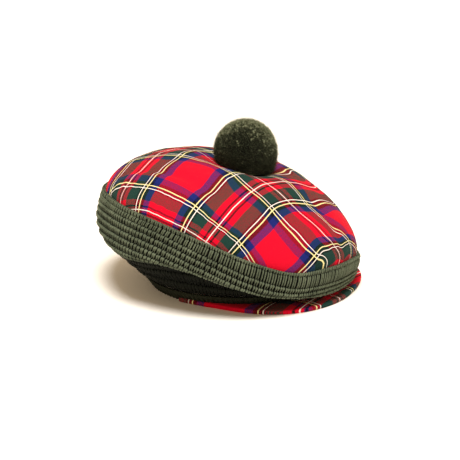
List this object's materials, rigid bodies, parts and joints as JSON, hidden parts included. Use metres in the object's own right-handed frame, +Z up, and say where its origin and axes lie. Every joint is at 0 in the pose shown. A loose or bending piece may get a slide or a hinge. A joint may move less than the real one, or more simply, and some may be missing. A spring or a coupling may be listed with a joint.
{
  "type": "flat cap",
  "caption": "Soft cap with a domed tartan top, a deep knitted side that rolls in to a ribbed head band, a small cloth-covered peak and a wool pompom.",
  "frame": {"origin": "middle of the head opening, in the plane that the head band rests on", "axes": "+Z up out of the crown, the peak points along -Y, +X to the wearer's left when the peak is in front"},
  "size_m": [0.2776, 0.2792, 0.1734],
  "materials": {
    "tartan_cloth": "woven tartan twill, mostly red",
    "olive_knit": "chunky knitted wool, dark olive",
    "olive_rib": "ribbed knitted wool, dark olive",
    "peak_cloth": "the same tartan twill over a stiff board",
    "olive_wool": "cut wool pile"
  },
  "bodies": {
    "root": {"crown_top": "tartan_cloth", "knit_side": "olive_knit", "head_band": "olive_rib", "peak": "peak_cloth", "pompom": "olive_wool"}
  },
  "joints": []
}
